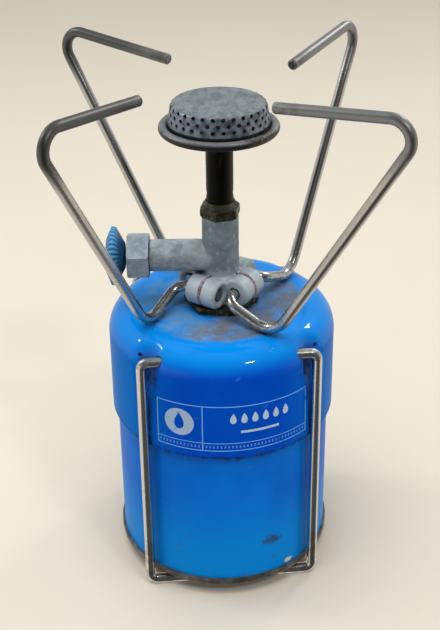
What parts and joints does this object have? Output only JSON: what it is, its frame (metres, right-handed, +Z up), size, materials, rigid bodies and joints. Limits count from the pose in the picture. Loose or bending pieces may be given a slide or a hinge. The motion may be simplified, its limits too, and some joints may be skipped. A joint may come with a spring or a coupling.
{
  "type": "camping gas stove",
  "caption": "Single-burner camping stove: a valve, burner head and swinging wire pan supports screwed onto a blue pierceable gas cartridge held by wire stirrups.",
  "frame": {"origin": "on the ground under the burner axis, midway between the two stirrup bars it stands on", "axes": "+Z up along the burner axis; -Y towards the printed front of the casing; +X to the right seen from the front"},
  "size_m": [0.1316, 0.1316, 0.219],
  "materials": {
    "casing_enamel": "glossy blue stove enamel over sheet steel, scuffed and rust-specked on top",
    "cartridge_paint": "satin blue lacquer over tinplate",
    "seam_steel": "dull grimy tinplate",
    "chrome_wire": "bright plated wire",
    "pan_wire": "plated wire, dulled by heat towards the tips",
    "zinc_casting": "dull grey zinc die casting",
    "zinc_nut": "lighter grey zinc",
    "brass": "dull dirty brass",
    "dark_brass": "heat-darkened brass",
    "needle_steel": "ground hardened steel",
    "burnt_steel": "steel burnt almost black",
    "sooty_steel": "sooty steel with grey-green dust",
    "black_rubber": "matt",
    "felt": "pressed fibre",
    "red_fibre": "vulcanised fibre",
    "blue_plastic": "worn blue moulded plastic"
  },
  "bodies": {
    "root": {"casing": "casing_enamel", "casing_bush": "brass", "bush_nut": "brass", "cartridge_shell": "cartridge_paint", "cartridge_base": "seam_steel"},
    "front_stirrup": {"front_stirrup": "chrome_wire"},
    "rear_stirrup": {"rear_stirrup": "chrome_wire"},
    "seal": {"piercing_seal": "black_rubber"},
    "burner": {"valve_body": "zinc_casting", "barrel_rings": "red_fibre", "piercing_stem": "brass", "piercing_needle": "needle_steel", "gas_filter": "felt", "gas_jet": "brass", "tube_nut": "dark_brass", "burner_tube": "burnt_steel", "burner_pan": "sooty_steel", "burner_cap": "sooty_steel", "gland_washer": "brass", "gland_packing": "felt", "gland_nut": "zinc_nut"},
    "valve_pad": {"valve_pad": "black_rubber"},
    "spindle": {"valve_spindle": "burnt_steel", "control_knob": "blue_plastic"},
    "pan_support_1": {"pan_support_1": "pan_wire"},
    "pan_support_2": {"pan_support_2": "pan_wire"},
    "pan_support_3": {"pan_support_3": "pan_wire"},
    "pan_support_4": {"pan_support_4": "pan_wire"}
  },
  "joints": [
    {"name": "front_stirrup_swing", "type": "hinge", "parent": "root", "child": "front_stirrup", "pos_m": [0, -0.03479, 0.1109], "axis": [-1, 0, 0], "range_deg": [0, 90]},
    {"name": "rear_stirrup_swing", "type": "hinge", "parent": "root", "child": "rear_stirrup", "pos_m": [0, 0.03479, 0.1109], "axis": [1, 0, 0], "range_deg": [0, 90]},
    {"name": "burner_lift", "type": "slide", "parent": "root", "child": "seal", "axis": [0, 0, 1], "range_m": [0, 0.006]},
    {"name": "burner_screw", "type": "hinge", "parent": "seal", "child": "burner", "pos_m": [0, 0, 0.12], "axis": [0, 0, 1], "range_deg": [0, 1440]},
    {"name": "valve_travel", "type": "slide", "parent": "burner", "child": "valve_pad", "axis": [-0.9962, 0.0872, 0], "range_m": [0, 0.0015]},
    {"name": "valve_turn", "type": "hinge", "parent": "valve_pad", "child": "spindle", "pos_m": [0, 0, 0.1386], "axis": [-0.9962, 0.0872, 0], "range_deg": [0, 540]},
    {"name": "pan_support_1_fold", "type": "hinge", "parent": "burner", "child": "pan_support_1", "pos_m": [0.00867, -0.00677, 0.1267], "axis": [-0.6157, -0.788, 0], "range_deg": [0, 38]},
    {"name": "pan_support_2_fold", "type": "hinge", "parent": "burner", "child": "pan_support_2", "pos_m": [0.00677, 0.00867, 0.1267], "axis": [0.788, -0.6157, 0], "range_deg": [0, 38]},
    {"name": "pan_support_3_fold", "type": "hinge", "parent": "burner", "child": "pan_support_3", "pos_m": [-0.00867, 0.00677, 0.1267], "axis": [0.6157, 0.788, 0], "range_deg": [0, 38]},
    {"name": "pan_support_4_fold", "type": "hinge", "parent": "burner", "child": "pan_support_4", "pos_m": [-0.00677, -0.00867, 0.1267], "axis": [-0.788, 0.6157, 0], "range_deg": [0, 38]}
  ],
  "couplings": [
    {"joint": "burner_lift", "follows": "burner_screw", "m_per_rad": 0.00023873},
    {"joint": "valve_travel", "follows": "valve_turn", "m_per_rad": 0.00015915}
  ]
}
